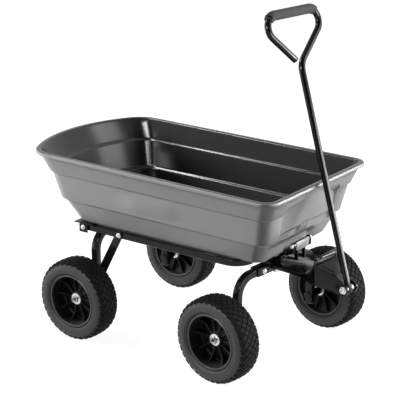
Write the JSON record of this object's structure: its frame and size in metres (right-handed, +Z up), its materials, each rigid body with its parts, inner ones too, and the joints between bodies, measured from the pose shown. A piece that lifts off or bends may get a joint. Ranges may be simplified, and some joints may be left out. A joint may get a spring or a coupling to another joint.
{
  "type": "dump cart",
  "caption": "Tipping garden dump cart: grey poly tub hinged on a black tube frame, with a steered front axle, a swinging pull handle with a loop grip and chunky solid tyres.",
  "frame": {"origin": "on the ground, midway between the cart's ends and on its centre plane", "axes": "+X to the front where the handle is, +Y to the cart's left, +Z up"},
  "size_m": [1.058, 0.6226, 1.0306],
  "materials": {
    "tub": "satin moulded",
    "frame_paint": "gloss black powder coat",
    "zinc": "bright zinc plate",
    "tyre": "matte",
    "rim": "satin moulded",
    "grip": "soft matte",
    "black_plastic": "satin",
    "pad": "matte",
    "nylon": "satin"
  },
  "bodies": {
    "frame": {"frame_tube": "frame_paint", "rear_cross_tube": "frame_paint", "rear_axle_tube": "frame_paint", "rear_leg_plugs": "black_plastic", "left_brace": "frame_paint", "right_brace": "frame_paint", "brace_fasteners": "zinc", "cross_fasteners": "zinc", "rear_stub_axles": "zinc", "rear_axle_sleeves": "zinc", "rear_axle_washers": "zinc", "rear_axle_nuts": "zinc", "hinge_bolts": "zinc", "hinge_nuts": "zinc", "hinge_spacers": "black_plastic", "rest_pads": "pad", "turntable": "frame_paint", "kingpin": "zinc", "kingpin_nut": "zinc", "latch_striker": "frame_paint"},
    "tub": {"tub": "tub", "left_hinge_bracket": "frame_paint", "right_hinge_bracket": "frame_paint", "bracket_bolts": "zinc", "bracket_nuts": "zinc", "latch_bracket": "frame_paint", "latch_pin": "zinc", "latch_pin_nut": "zinc", "latch_bolts": "zinc"},
    "latch": {"latch_lever": "frame_paint"},
    "steer": {"front_axle_tube": "frame_paint", "front_leg_plugs": "black_plastic", "steer_saddle": "frame_paint", "saddle_bolts": "zinc", "saddle_nuts": "zinc", "thrust_washer": "nylon", "drawbar": "frame_paint", "crest_bar": "frame_paint", "front_stub_axles": "zinc", "front_axle_washers": "zinc", "front_axle_nuts": "zinc", "handle_bolt": "zinc", "handle_nut": "zinc", "handle_spacers": "zinc"},
    "handle": {"handle_tube": "frame_paint", "handle_grip": "grip", "handle_plug": "black_plastic"},
    "rear_left_wheel": {"rear_left_tyre": "tyre", "rear_left_rim": "rim", "rear_left_bushes": "zinc"},
    "rear_right_wheel": {"rear_right_tyre": "tyre", "rear_right_rim": "rim", "rear_right_bushes": "zinc"},
    "front_left_wheel": {"front_left_tyre": "tyre", "front_left_rim": "rim", "front_left_bushes": "zinc"},
    "front_right_wheel": {"front_right_tyre": "tyre", "front_right_rim": "rim", "front_right_bushes": "zinc"}
  },
  "joints": [
    {"name": "tub_tilt", "type": "hinge", "parent": "frame", "child": "tub", "pos_m": [-0.30953, 0, 0.331], "axis": [0, -1, 0], "range_deg": [0, 80]},
    {"name": "latch_turn", "type": "hinge", "parent": "tub", "child": "latch", "pos_m": [0.33697, 0, 0.3623], "axis": [0, 1, 0], "range_deg": [-20, 12]},
    {"name": "steering", "type": "hinge", "parent": "frame", "child": "steer", "pos_m": [0.25597, 0, 0.2], "axis": [0, 0, 1], "range_deg": [-12.6, 23.4]},
    {"name": "handle_swing", "type": "hinge", "parent": "steer", "child": "handle", "pos_m": [0.51083, -0.02409, 0.268], "axis": [0.0941, 0.9956, 0], "range_deg": [0, 105]},
    {"name": "rear_left_spin", "type": "hinge", "parent": "frame", "child": "rear_left_wheel", "pos_m": [-0.28303, 0.2595, 0.127], "axis": [0, 1, 0], "continuous": true},
    {"name": "rear_right_spin", "type": "hinge", "parent": "frame", "child": "rear_right_wheel", "pos_m": [-0.28303, -0.2595, 0.127], "axis": [0, 1, 0], "continuous": true},
    {"name": "front_left_spin", "type": "hinge", "parent": "steer", "child": "front_left_wheel", "pos_m": [0.28039, 0.25835, 0.127], "axis": [0.0941, 0.9956, 0], "continuous": true},
    {"name": "front_right_spin", "type": "hinge", "parent": "steer", "child": "front_right_wheel", "pos_m": [0.23155, -0.25835, 0.127], "axis": [0.0941, 0.9956, 0], "continuous": true}
  ]
}
